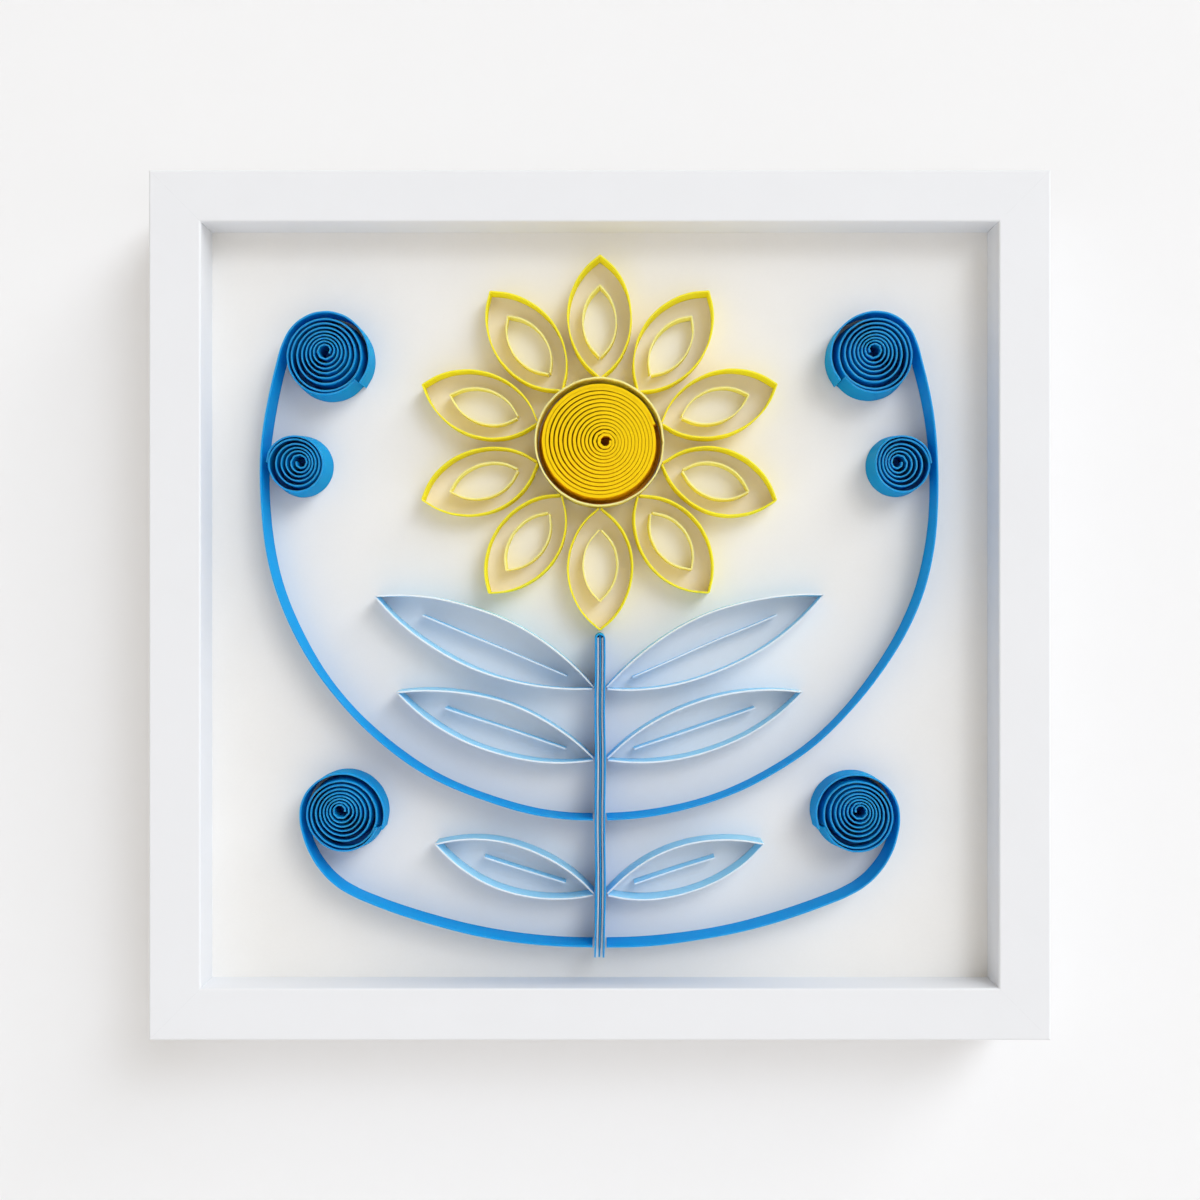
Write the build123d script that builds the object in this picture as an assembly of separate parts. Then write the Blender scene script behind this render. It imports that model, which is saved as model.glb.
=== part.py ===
from build123d import *
import os
from math import acos, ceil, cos, degrees, radians, sin, tan

# Framed quilled paper art: strips of coloured paper stand on edge on a white card, in a white box frame.
# The art faces -Y. The frame stands on its bottom rail with +Z up, and the origin is under its middle.
# All sizes are millimetres, and all angles are degrees.

# Frame moulding
moulding_face = 14.4
frame_depth = 30.0
lip_depth = 11.5
rabbet_width = 5.0
edge_radius = 0.6

# Bare card between the paper and the frame
side_margin = 16.2
top_margin = 8.25
bottom_margin = 8.25

# Boards in the rabbet
board_clearance = 0.8
card_thickness = 2.0
backing_thickness = 3.0

# Paper strips, and the glue between a strip and its neighbour. Leaves, petals, and the strips inside both,
# are cut narrower than the rest, and the flower's core is rolled from a doubled strip
paper = 0.45
core_paper = 0.65
strip_depth = 10.0
leaf_depth = 8.0
petal_depth = 7.0
inner_depth = 5.0
glue_gap = 0.15

# Longest flat that stands for a bend of the paper, and the most that one flat turns from the next
flat_length = 6.5
flat_turn = 22.5

# Coils: the outer end is glued to the turn below it, and the inner end leaves an eye off the middle.
# The lean angle of a coil, further down, is where its eye lies. A slack under 1 draws the inner turns closer,
# and the sag is how far the flats of a turn may lie inside a true round
seam_gap = 0.15
eye_radius = 1.5
eye_shift = 1.8
coil_slack = 0.85
coil_sag = 0.225

# Flower: a large coil in a ring of paper, with folded petals and a smaller fold inside each petal
core_radius = 17.0
core_turns = 14
core_slack = 1.0
core_lean_angle = 0.0
petal_count = 10
petal_length = 34.0
petal_gap = 5.0
inner_petal_foot = 6.0
inner_petal_tip = 8.0
inner_petal_gap = 4.2

# Stem, a strip folded into a narrow loop. Each height is above the one before, up to the stem's top
stem_half_width = 1.2
low_tendril_height = 3.0
low_leaf_height = 14.0
high_tendril_height = 21.5
middle_leaf_height = 16.0
high_leaf_height = 20.0
stem_top_height = 15.5

# Leaves, with a straight rib inside each. The low leaf points at the low coil and stops short of it
high_leaf_angle = 23.0
high_leaf_length = 66.0
high_leaf_half_width = 8.0
middle_leaf_angle = 19.0
middle_leaf_length = 58.0
middle_leaf_half_width = 7.0
low_leaf_gap = 15.5
low_leaf_half_width = 6.5
leaf_rib_foot = 8.0
leaf_rib_tip = 14.0

# High tendrils sweep out from the stem, rise clear of the flower and hook round a coil
flower_clearance = 40.0
rise_radius = 130.0
rise_turn = 18.0
hook_turn = 200.0
high_coil_radius = 11.5
high_coil_turns = 8
high_coil_lean_angle = 100.0

# Low tendrils run along the foot, turn up this far short of the high tendrils and hook round a coil
low_tendril_inset = 11.0
low_run_turn = 24.0
low_bend_radius = 24.0
low_coil_radius = 11.0
low_coil_turns = 8
low_coil_lean_angle = 60.0

# Small coils inside the rise of the high tendrils, at an angle round the centre of that rise
small_coil_radius = 9.0
small_coil_turns = 6
small_coil_lean_angle = 160.0
small_coil_angle = 3.0

# Corner V-nails, flush with the back of the frame
v_nail_inset = 3.0
v_nail_leg = 4.6
v_nail_thickness = 0.6
v_nail_height = 8.0

# Flexi points, two on each side of the frame
point_width = 8.0
point_thickness = 0.5
point_bite = 5.0
point_reach = 9.0
point_taper = 2.0
point_spacing = 120.0

# Sawtooth hanger and its nails
hanger_span = 24.0
hanger_ramp = 2.0
hanger_tab = 8.0
hanger_height = 7.0
hanger_sheet = 0.8
hanger_rise = 1.6
tooth_count = 9
tooth_depth = 1.4
nail_radius = 0.8
nail_clearance = 0.15
nail_length = 9.0
nail_sides = 12
nail_head_radius = 1.9
nail_head_height = 0.9


# Lines of paper in the plane of the card, with X to the right and Y up from the foot of the stem


def flats(arc):
    """Points along an arc, close enough together for its length and its turn."""
    turn = degrees(arc.length / arc.radius)
    count = ceil(max(arc.length / flat_length, turn / flat_turn))
    return [arc @ (step / count) for step in range(count + 1)]


def clear_round(radius):
    """Radius of a bent strip whose flats stay outside a round of the given radius."""
    return (radius + glue_gap + paper / 2) / cos(radians(flat_turn / 2))


def bent_line(start, heading, bends):
    """Arcs that follow on from one another, each a radius and a turn to the left, and their centres."""
    line = [Vector(*start)]
    centres = []
    for radius, turn in bends:
        arc = JernArc(start, heading, radius, turn)
        line += flats(arc)[1:]
        centres.append(arc.center_point)
        start = arc @ 1
        heading = arc % 1
    return line, centres


def coil_line(centre, radius, turns, seam_angle, lean_angle, thickness=paper, slack=coil_slack):
    """A spiral from the glued end in to the eye. The first turn only drops by what the seam needs."""
    seam = thickness + seam_gap
    second_radius = radius - thickness / 2 - seam

    def inward(turn):
        return (max(0, turn - 1) / (turns - 1)) ** slack

    def reach(turn):
        return second_radius + seam * (1 - min(turn, 1)) - inward(turn) * (second_radius - eye_radius)

    places = []
    for whole_turn in range(turns):
        half_flat = degrees(acos(1 - coil_sag / reach(max(whole_turn, 1))))
        steps = ceil(180 / half_flat)
        places += [whole_turn + step / steps for step in range(steps)]
    line = []
    for turn in [*places, turns]:
        lean = Vector(eye_shift * inward(turn), 0).rotate(Axis.Z, lean_angle)
        line.append(centre + lean + Vector(reach(turn), 0).rotate(Axis.Z, seam_angle + 360 * turn))
    return line


def placed(line, foot, angle):
    return [foot + point.rotate(Axis.Z, angle) for point in line]


def folded_line(foot, angle, length, half_width):
    """A strip folded at its tip, with its two ends side by side at the foot."""
    end = (paper + glue_gap) / 2
    side = flats(ThreePointArc((0, end), (length / 2, half_width), (length, 0)))
    other_side = [Vector(point.X, -point.Y) for point in reversed(side[:-1])]
    return placed(side + other_side, foot, angle)


def straight_line(foot, angle, start, end):
    return placed([Vector(start, 0), Vector(end, 0)], foot, angle)


def mirrored(line):
    return [Vector(-point.X, point.Y) for point in line]


lines = {}

# Stem and what grows from its sides
low_tendril_foot = low_tendril_height
low_leaf_foot = low_tendril_foot + low_leaf_height
high_tendril_foot = low_leaf_foot + high_tendril_height
middle_leaf_foot = high_tendril_foot + middle_leaf_height
high_leaf_foot = middle_leaf_foot + high_leaf_height
stem_top = high_leaf_foot + stem_top_height
stem_side = stem_half_width + paper + 2 * glue_gap

stem_bend = JernArc((stem_half_width, stem_top - stem_half_width), (0, 1), stem_half_width, 180)
lines["stem"] = [Vector(stem_half_width, 0)] + flats(stem_bend) + [Vector(-stem_half_width, 0)]

# Flower
ring_radius = clear_round(core_radius)
petal_foot = ring_radius + paper + glue_gap
flower_radius = petal_foot + petal_length
flower_centre = Vector(0, stem_top + 2 * paper + glue_gap + flower_radius)
petal_angle = 360 / petal_count
petal_half_width = (petal_foot + petal_length / 2) * tan(radians(petal_angle / 2)) - petal_gap / 2
inner_length = petal_length - inner_petal_foot - inner_petal_tip

lines["flower_core"] = coil_line(
    flower_centre, core_radius, core_turns, petal_angle / 2, core_lean_angle, core_paper, core_slack
)
ring_turn = 360 - degrees(glue_gap / ring_radius)
ring_start = flower_centre + Vector(ring_radius, 0)
lines["flower_ring"] = flats(JernArc(ring_start, (0, 1), ring_radius, ring_turn))
for number in range(petal_count):
    angle = 90 + petal_angle * number
    foot = flower_centre + Vector(petal_foot, 0).rotate(Axis.Z, angle)
    inner_foot = foot + Vector(inner_petal_foot, 0).rotate(Axis.Z, angle)
    lines[f"petal_{number + 1:02}"] = folded_line(foot, angle, petal_length, petal_half_width)
    lines[f"inner_petal_{number + 1:02}"] = folded_line(
        inner_foot, angle, inner_length, petal_half_width - inner_petal_gap
    )

# Tendrils, each with a coil in its hook
pairs = {}
high_hook = clear_round(high_coil_radius)
sweep_radius = flower_radius + flower_clearance
pairs["high_tendril"], high_centres = bent_line(
    (stem_side, high_tendril_foot),
    (1, 0),
    [(sweep_radius, 90), (rise_radius, rise_turn), (high_hook, hook_turn)],
)
pairs["high_coil"] = coil_line(
    high_centres[2], high_coil_radius, high_coil_turns, rise_turn + hook_turn, high_coil_lean_angle
)

low_hook = clear_round(low_coil_radius)
low_run_slope = sin(radians(low_run_turn))
low_run_reach = sweep_radius - low_tendril_inset - low_bend_radius * (1 - low_run_slope)
pairs["low_tendril"], low_centres = bent_line(
    (stem_side, low_tendril_foot),
    (1, 0),
    [
        (low_run_reach / low_run_slope, low_run_turn),
        (low_bend_radius, 90 - low_run_turn),
        (low_hook, hook_turn),
    ],
)
pairs["low_coil"] = coil_line(
    low_centres[2], low_coil_radius, low_coil_turns, hook_turn, low_coil_lean_angle
)

small_coil_offset = rise_radius - paper - glue_gap - small_coil_radius
small_coil_centre = high_centres[1] + Vector(small_coil_offset, 0).rotate(Axis.Z, small_coil_angle)
pairs["small_coil"] = coil_line(
    small_coil_centre, small_coil_radius, small_coil_turns, small_coil_angle, small_coil_lean_angle
)

# Leaves
low_leaf_reach = low_centres[2] - Vector(stem_side, low_leaf_foot)
low_leaf_angle = Vector(1, 0).get_signed_angle(low_leaf_reach, Vector(0, 0, 1))
low_leaf_length = low_leaf_reach.length - low_hook - low_leaf_gap
leaves = {
    "high_leaf": (high_leaf_foot, high_leaf_angle, high_leaf_length, high_leaf_half_width),
    "middle_leaf": (middle_leaf_foot, middle_leaf_angle, middle_leaf_length, middle_leaf_half_width),
    "low_leaf": (low_leaf_foot, low_leaf_angle, low_leaf_length, low_leaf_half_width),
}
for name, (height, angle, length, half_width) in leaves.items():
    foot = Vector(stem_side, height)
    pairs[name] = folded_line(foot, angle, length, half_width)
    pairs[f"{name}_rib"] = straight_line(foot, angle, leaf_rib_foot, length - leaf_rib_tip)

for name, line in pairs.items():
    lines[f"{name}_left"] = mirrored(line)
    lines[f"{name}_right"] = line


# The frame is as large as the art and its margins ask

points = [point for line in lines.values() for point in line]
art_half_width = max(point.X for point in points)
art_top = max(point.Y for point in points)
art_bottom = min(point.Y for point in points)
opening_width = 2 * (art_half_width + side_margin)
opening_height = art_top - art_bottom + bottom_margin + top_margin
frame_width = opening_width + 2 * moulding_face
frame_height = opening_height + 2 * moulding_face
opening_middle = frame_height / 2

hanger_projection = hanger_sheet + max(hanger_rise, nail_head_height)
front = -(frame_depth + hanger_projection) / 2
back = front + frame_depth
card_front = front + lip_depth
backing_front = card_front + card_thickness
backing_rear = backing_front + backing_thickness
land_width = moulding_face - rabbet_width


# Solids


def offset_line(line, distance):
    """The line moved to its left, with mitred corners."""
    ways = [(end - start).normalized() for start, end in zip(line, line[1:])]
    moved = []
    for point, way_in, way_out in zip(line, ways[:1] + ways, ways + ways[-1:]):
        left_in = way_in.rotate(Axis.Z, 90)
        left_out = way_out.rotate(Axis.Z, 90)
        moved.append(point + (left_in + left_out) * (distance / (1 + left_in.dot(left_out))))
    return moved


def strip(line, thickness, depth):
    """A strip of sheet that stands on edge along a line."""
    outline = offset_line(line, thickness / 2) + offset_line(line, -thickness / 2)[::-1]
    return extrude(make_face(Polyline(*outline, close=True)), amount=depth, dir=(0, 0, 1))


def strip_size(name):
    """Thickness and depth of the strip that is bent along a named line."""
    if name == "flower_core":
        return core_paper, strip_depth
    if name.startswith("inner_petal") or "_rib_" in name:
        return paper, inner_depth
    if name.startswith("petal"):
        return paper, petal_depth
    if "_leaf_" in name:
        return paper, leaf_depth
    return paper, strip_depth


def on_rail(shape, side):
    """A shape made for the bottom rail, turned to another side of the frame."""
    middle = Pos(0, 0, opening_middle)
    reach = opening_middle if side in ("top", "bottom") else frame_width / 2
    turn = {"bottom": 0, "left": 90, "top": 180, "right": -90}[side]
    return middle * Rot(0, turn, 0) * Pos(0, 0, -reach) * shape


def moulding(length):
    """Bottom rail: an L-section with a lip in front of the boards, mitred at both ends."""
    section = make_face(
        Polyline(
            (front, 0),
            (back, 0),
            (back, land_width),
            (card_front, land_width),
            (card_front, moulding_face),
            (front, moulding_face),
            close=True,
        )
    )
    section = fillet(section.vertices().group_by(Axis.X)[0], edge_radius)
    run = extrude(Plane((-length / 2, 0, 0), x_dir=(0, 1, 0), z_dir=(1, 0, 0)) * section, amount=length)
    inner_half = length / 2 - moulding_face
    mitres = make_face(
        Polyline(
            (-length / 2, 0),
            (length / 2, 0),
            (inner_half, moulding_face),
            (-inner_half, moulding_face),
            close=True,
        )
    )
    front_plane = Plane((0, front, 0), x_dir=(1, 0, 0), z_dir=(0, -1, 0))
    return run & extrude(front_plane * mitres, amount=-frame_depth)


def flexi_point():
    """Steel tab for the middle of the bottom rail, half in the rabbet's wall and half behind the boards."""
    half = point_width / 2
    bite = land_width - point_bite
    reach = land_width + point_reach
    outline = Polyline(
        (half - point_taper, bite),
        (half, land_width),
        (half, reach - point_taper),
        (half - point_taper, reach),
        (point_taper - half, reach),
        (-half, reach - point_taper),
        (-half, land_width),
        (point_taper - half, bite),
        close=True,
    )
    plane = Plane((0, backing_rear, 0), x_dir=(1, 0, 0), z_dir=(0, -1, 0))
    return extrude(plane * make_face(outline), amount=-point_thickness)


def v_nail(side_x, side_z):
    """Bent steel across the mitre of one corner, with a leg in each length of moulding."""
    far = v_nail_inset + v_nail_leg
    line = [Vector(far, v_nail_inset), Vector(v_nail_inset, v_nail_inset), Vector(v_nail_inset, far)]
    corner = [
        Vector(side_x * (frame_width / 2 - point.X), side_z * (opening_middle - point.Y)) for point in line
    ]
    plane = Plane((0, back, opening_middle), x_dir=(1, 0, 0), z_dir=(0, -1, 0))
    return plane * strip(corner, v_nail_thickness, v_nail_height)


def sawtooth_hanger(bottom, nail_places):
    """Bent plate with its middle off the frame and teeth along the lower edge of that middle."""
    half_span = hanger_span / 2
    ramp_end = half_span + hanger_ramp
    half_length = ramp_end + hanger_tab
    low = back + hanger_sheet / 2
    high = low + hanger_rise
    half_line = [Vector(half_span, high), Vector(ramp_end, low), Vector(half_length, low)]
    line = mirrored(reversed(half_line)) + half_line
    plate = Pos(0, 0, bottom) * strip(line, hanger_sheet, hanger_height)
    pitch = hanger_span / tooth_count
    notch = make_face(Polyline((-pitch / 2, 0), (pitch / 2, 0), (0, tooth_depth), close=True))
    plane = Plane((0, low, bottom), x_dir=(1, 0, 0), z_dir=(0, -1, 0))
    cut = extrude(plane * notch, amount=-2 * (high - low))
    notches = [Pos((place - (tooth_count - 1) / 2) * pitch, 0, 0) * cut for place in range(tooth_count)]
    hole = Rot(-90, 0, 0) * extrude(
        RegularPolygon(nail_radius + nail_clearance, nail_sides), amount=-2 * hanger_sheet
    )
    holes = [place * hole for place in nail_places]
    return plate - notches - holes


def hanger_nail():
    """Flat-headed nail along Y, with the underside of its head at the origin."""
    head = extrude(RegularPolygon(nail_head_radius, nail_sides), amount=nail_head_height)
    shank = extrude(RegularPolygon(nail_radius, nail_sides), amount=-nail_length)
    return Rot(-90, 0, 0) * (head + shank)


solids = {}

art_plane = Plane(
    (0, card_front, moulding_face + bottom_margin - art_bottom), x_dir=(1, 0, 0), z_dir=(0, -1, 0)
)
for name, line in lines.items():
    solids[name] = art_plane * strip(line, *strip_size(name))

board_width = opening_width + 2 * (rabbet_width - board_clearance)
board_height = opening_height + 2 * (rabbet_width - board_clearance)
for name, near, thickness in (
    ("art_card", card_front, card_thickness),
    ("backing_board", backing_front, backing_thickness),
):
    board = Box(board_width, thickness, board_height)
    solids[name] = Pos(0, near + thickness / 2, opening_middle) * board

v_nails = [v_nail(side_x, side_z) for side_x in (-1, 1) for side_z in (-1, 1)]
solids["corner_v_nails"] = Compound(v_nails)

hanger_bottom = frame_height - (land_width + hanger_height) / 2
nail_offset = hanger_span / 2 + hanger_ramp + hanger_tab / 2
nail_height = hanger_bottom + hanger_height / 2
nail_places = [Pos(offset, back + hanger_sheet, nail_height) for offset in (-nail_offset, nail_offset)]
hanger_nails = [place * hanger_nail() for place in nail_places]
solids["sawtooth_hanger"] = sawtooth_hanger(hanger_bottom, nail_places)
solids["hanger_nails"] = Compound(hanger_nails)

flexi_points = []
for name, side, length in (
    ("frame_rail_top", "top", frame_width),
    ("frame_rail_bottom", "bottom", frame_width),
    ("frame_stile_left", "left", frame_height),
    ("frame_stile_right", "right", frame_height),
):
    tabs = [
        on_rail(Pos(offset, 0, 0) * flexi_point(), side) for offset in (-point_spacing / 2, point_spacing / 2)
    ]
    nails = hanger_nails if side == "top" else []
    solids[name] = on_rail(moulding(length), side) - tabs - v_nails - nails
    flexi_points += tabs
solids["flexi_points"] = Compound(flexi_points)

os.makedirs("parts", exist_ok=True)
for name, solid in solids.items():
    export_step(solid, f"parts/{name}.step")
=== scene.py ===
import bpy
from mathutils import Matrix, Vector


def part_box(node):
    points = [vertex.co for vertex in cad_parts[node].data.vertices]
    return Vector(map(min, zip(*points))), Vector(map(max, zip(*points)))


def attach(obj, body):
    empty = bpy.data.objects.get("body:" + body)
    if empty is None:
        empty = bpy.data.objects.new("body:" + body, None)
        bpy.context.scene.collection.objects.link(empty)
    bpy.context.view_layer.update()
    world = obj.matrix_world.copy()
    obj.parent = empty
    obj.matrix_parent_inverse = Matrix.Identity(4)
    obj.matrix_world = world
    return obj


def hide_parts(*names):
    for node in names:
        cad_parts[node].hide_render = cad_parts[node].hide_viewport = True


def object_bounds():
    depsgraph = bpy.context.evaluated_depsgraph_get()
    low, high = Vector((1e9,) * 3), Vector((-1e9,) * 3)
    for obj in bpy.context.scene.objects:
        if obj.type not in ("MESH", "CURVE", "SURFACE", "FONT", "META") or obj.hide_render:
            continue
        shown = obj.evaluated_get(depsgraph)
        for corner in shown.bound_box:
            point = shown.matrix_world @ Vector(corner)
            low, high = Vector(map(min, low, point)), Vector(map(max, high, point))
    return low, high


bl_info = {
    "name": "Framed quilled paper art",
    "version": (1, 0, 0),
    "blender": (4, 5, 0),
    "location": "View3D > Sidebar > Quilling",
    "description": "Finishes a white box frame and the quilled paper flower on its card",
    "category": "Object",
}

import math

import bpy
import numpy as np
from bpy.props import FloatProperty, FloatVectorProperty, PointerProperty
from mathutils import Vector

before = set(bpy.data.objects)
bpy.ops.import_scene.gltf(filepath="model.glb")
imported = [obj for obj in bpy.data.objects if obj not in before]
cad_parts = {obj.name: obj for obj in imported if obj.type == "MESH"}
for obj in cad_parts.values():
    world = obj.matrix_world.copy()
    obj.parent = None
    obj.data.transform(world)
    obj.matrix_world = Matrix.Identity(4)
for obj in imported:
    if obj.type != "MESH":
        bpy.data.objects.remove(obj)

# Places and sizes that the frame gives, in metres
MM = 0.001
CAD_LOW, CAD_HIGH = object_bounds()
RAIL_LOW, RAIL_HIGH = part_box("frame_rail_bottom")
CARD_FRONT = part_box("art_card")[0].y
FRAME_FRONT = RAIL_LOW.y
FRAME_BACK = RAIL_HIGH.y
FRAME_WIDTH = CAD_HIGH.x - CAD_LOW.x
FRAME_HEIGHT = CAD_HIGH.z - CAD_LOW.z
FRAME_MIDDLE = (CAD_LOW + CAD_HIGH) / 2
MOULDING_FACE = RAIL_HIGH.z - RAIL_LOW.z
LAND_WIDTH = max(
    vertex.co.z
    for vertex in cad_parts["frame_rail_bottom"].data.vertices
    if vertex.co.y > FRAME_BACK - MM
)

# The photograph is 1200 pixels square. The frame is this wide in it, and its middle lies here.
PHOTO_SIDE = 1200
FRAME_PIXELS = 902.5
FRAME_MIDDLE_PIXEL = (599.75, 605.0)
SENSOR_WIDTH = 36.0

# The front lamps are a little cool and the even light a little warm, so that lit white is neutral and
# shade is warm.
COOL_TINT = (0.945, 1.015, 1.12)
PLAIN_TINT = (1.0, 1.0, 1.0)

SIDES = ("left", "right")
COIL_PARTS = ("high_coil", "low_coil", "small_coil")
FOLD_ANGLE = math.radians(40)

# How fine each finish is grained, as noise cells to the metre
PAINT_CLOUDS = 45.0
PAINT_PATCHES = 300.0
PAINT_PEEL = 900.0
WOOD_GRAIN = 900.0
BOARD_FLECKS = 1400.0
ZINC_SPANGLE = 800.0
ZINC_BRUSHING = 2600.0
STAGE_CLOUDS = 3.0

# Grain and brush marks run along a piece, where they are this share as fine as across it
GRAIN_STRETCH = 0.06
BRUSHING_STRETCH = 0.12

# How near a boundary a face counts as on it, how far the paint strays over the back edge, and how far
# inside a coil or ring the card takes its painted bounce light
FACE_SLACK = 0.05 * MM
PAINT_WRAP = 0.9 * MM
TINT_INSET = 0.6 * MM

# A run of a strip that is this many times longer than the one beside it gets a point more
LONG_RUN = 1.6

# Radius at which the cone of a coil has its full pull
CONE_REACH = 8 * MM

# Stage
WALL_GAP = 0.1 * MM
STAGE_REACH = 3.0
CLIP_START = 0.01


def colour(red, green, blue):
    """Linear colour from the 0 to 255 values that a screen shows."""
    shares = (red / 255, green / 255, blue / 255)
    return tuple(s / 12.92 if s <= 0.04045 else ((s + 0.055) / 1.055) ** 2.4 for s in shares)


def length(name, description, default):
    """A size in metres that a user may change."""
    return FloatProperty(
        name=name, description=description, default=default, min=0, unit="LENGTH", precision=5
    )


def tint(name, description, default):
    """A colour that a user may change."""
    return FloatVectorProperty(
        name=name, description=description, default=default, size=3, min=0, max=1, subtype="COLOR"
    )


def share(name, description, default):
    """A value from 0 to 1 that a user may change."""
    return FloatProperty(
        name=name, description=description, default=default, min=0, max=1, subtype="FACTOR"
    )


def amount(name, description, default):
    """A plain number that a user may change."""
    return FloatProperty(name=name, description=description, default=default, min=0)


def power(name, description, default):
    """A lamp's power in watts that a user may change."""
    return FloatProperty(name=name, description=description, default=default, min=0, unit="POWER")


class QuillingPaper(bpy.types.PropertyGroup):
    """Colours and habits of the paper strips."""

    deep_blue: tint("Deep blue", "Face of the deep blue strips", colour(0, 140, 208))
    deep_blue_edge: tint("Deep blue edge", "Cut edge of the deep blue strips", colour(34, 142, 206))
    light_blue: tint("Light blue", "Face of the light blue strips", colour(156, 212, 252))
    light_blue_edge: tint("Light blue edge", "Cut edge of the light blue strips", colour(232, 243, 253))
    deep_yellow: tint("Deep yellow", "Face of the deep yellow strips", colour(255, 229, 36))
    deep_yellow_edge: tint("Deep yellow edge", "Cut edge of the deep yellow strips", colour(255, 227, 54))
    golden_yellow: tint("Golden yellow", "Face of the core's doubled strip", colour(255, 190, 0))
    golden_yellow_edge: tint("Golden yellow edge", "Cut edge of the core's strip", colour(255, 208, 8))
    pale_yellow: tint("Pale yellow", "Face of the pale yellow strips", colour(255, 237, 118))
    pale_yellow_edge: tint("Pale yellow edge", "Cut edge of the pale yellow strips", colour(255, 242, 146))
    step: length("Step", "Distance between the sections of a strip", 0.4 * MM)
    waver: length("Waver", "How far a hand-laid strip strays from its drawn line", 0.4 * MM)
    waver_span: length("Waver span", "Length over which a strip strays", 28 * MM)
    lean: length("Lean", "How far the front edge of a strip leans from its glued edge", 0.5 * MM)
    core_cone: length("Core cone", "How much narrower the flower's core is in front", 0.9 * MM)
    core_swell: length("Core swell", "How much thicker the core's strip is than its flats", 0.2 * MM)
    coil_cone: length("Coil cone", "How much narrower the other coils are in front", 0.8 * MM)
    glow: share("Glow", "Share of the light that goes into the paper", 1.0)
    core_glow: share("Core glow", "The same in the core's doubled strip", 0.35)
    fibre: length("Fibre", "Size of the fibres in the paper's surface", 0.5 * MM)
    mottle: length("Mottle", "Size of the cloudy patches in the paper", 6 * MM)


class QuillingFrame(bpy.types.PropertyGroup):
    """Finish of the moulding."""

    paint: tint("Paint", "White paint on the moulding", colour(234, 235, 237))
    wood: tint("Wood", "Bare wood in the rabbet and on the back", colour(205, 176, 134))
    wood_dark: tint("Dark grain", "Darker grain of the bare wood", colour(168, 132, 90))
    joint_line: tint("Joint line", "Hairline where two lengths of moulding meet", colour(214, 215, 218))
    wood_joint: tint("Wood joint", "The same joint in the bare wood", colour(104, 78, 50))
    joint_width: length("Joint width", "Width of that hairline", 0.12 * MM)
    gloss: share("Paint roughness", "Roughness of the satin paint", 0.48)


class QuillingBoards(bpy.types.PropertyGroup):
    """Finish of the art card and of the board behind it."""

    card: tint("Card", "Matt white art card", colour(240, 238, 234))
    # Painted bounce light: blue, for the light that the coils' walls would throw on the card at their
    # bottom
    painted_coil_bounce: tint("Coil shade", "Card at the bottom of the blue coils", colour(70, 160, 255))
    # Painted bounce light: golden, for the light that the yellow core and ring would throw on the card
    # between them
    painted_core_bounce: tint("Core shade", "Card between the flower's core and its ring", colour(255, 190, 60))
    hardboard: tint("Hardboard", "Smooth face of the backing board", colour(150, 104, 66))
    hardboard_dark: tint("Dark fibres", "Darker fibres in the backing board", colour(104, 66, 38))


class QuillingMetal(bpy.types.PropertyGroup):
    """Finish of the small steel parts."""

    zinc: tint("Zinc", "Zinc plated steel", colour(186, 188, 190))
    roughness: share("Roughness", "Roughness of the plating", 0.34)
    edge_round: length("Edge round", "Rounding of the stamped edges", 0.12 * MM)
    head_round: length("Head round", "Rounding of the nail heads", 0.45 * MM)


class QuillingStage(bpy.types.PropertyGroup):
    """Wall, floor, lamps and camera."""

    wall: tint("Wall", "Plain wall behind the frame", colour(243, 243, 243))
    floor: tint("Floor", "Plain pale floor", colour(238, 238, 240))
    floor_drop: length("Floor drop", "Height of the frame above the floor", 0.16)
    camera_distance: length("Camera distance", "Lens to the front of the frame", 0.381)
    key_power: power("Key lamp", "Power of the soft key lamp in front, high on the right", 222)
    side_power: power("Side lamp", "Power of the lamp further round to the right", 214)
    low_power: power("Low lamp", "Power of the lamp that grazes the wall", 265)
    rear_power: power("Rear lamp", "Power of the lamp behind", 360)
    lamp_size: length("Lamp size", "Width of the soft lamps", 5.0)
    lamp_distance: length("Lamp distance", "Lamps to the middle of the frame", 10.0)
    sky: amount("Sky", "Strength of the even light from all round", 0.525)
    sky_tint: tint("Sky tint", "Colour of the even light", colour(255, 247, 235))
    backdrop: tint("Backdrop", "White that is seen past the wall and floor", colour(246, 247, 248))


class QuillingSettings(bpy.types.PropertyGroup):
    """All settings of the framed quilling."""

    paper: PointerProperty(type=QuillingPaper)
    moulding: PointerProperty(type=QuillingFrame)
    boards: PointerProperty(type=QuillingBoards)
    metal: PointerProperty(type=QuillingMetal)
    stage: PointerProperty(type=QuillingStage)


def add(tree, kind, values=None, **settings):
    """Adds a node, gives it its settings, then sets or links its inputs."""
    made = tree.nodes.new(kind)
    for name, value in settings.items():
        setattr(made, name, value)
    for key, value in (values or {}).items():
        if isinstance(value, bpy.types.NodeSocket):
            tree.links.new(value, made.inputs[key])
        else:
            made.inputs[key].default_value = value
    return made


def maths(tree, operation, *values):
    """Result of one arithmetic step."""
    return add(tree, "ShaderNodeMath", dict(enumerate(values)), operation=operation).outputs[0]


def ramp(tree, value, start, end):
    """Smooth mask that rises from 0 at start to 1 at end."""
    values = {"Value": value, "From Min": start, "From Max": end}
    return add(tree, "ShaderNodeMapRange", values, interpolation_type="SMOOTHSTEP").outputs["Result"]


def spread(tree, value, low, high):
    """A 0 to 1 value spread evenly from low to high."""
    values = {"Value": value, "To Min": low, "To Max": high}
    return add(tree, "ShaderNodeMapRange", values).outputs["Result"]


def blended(tree, factor, first, second, way="MIX"):
    """Mix of two colours."""
    values = {0: factor, 6: first, 7: second}
    return add(tree, "ShaderNodeMix", values, data_type="RGBA", blend_type=way).outputs[2]


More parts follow.
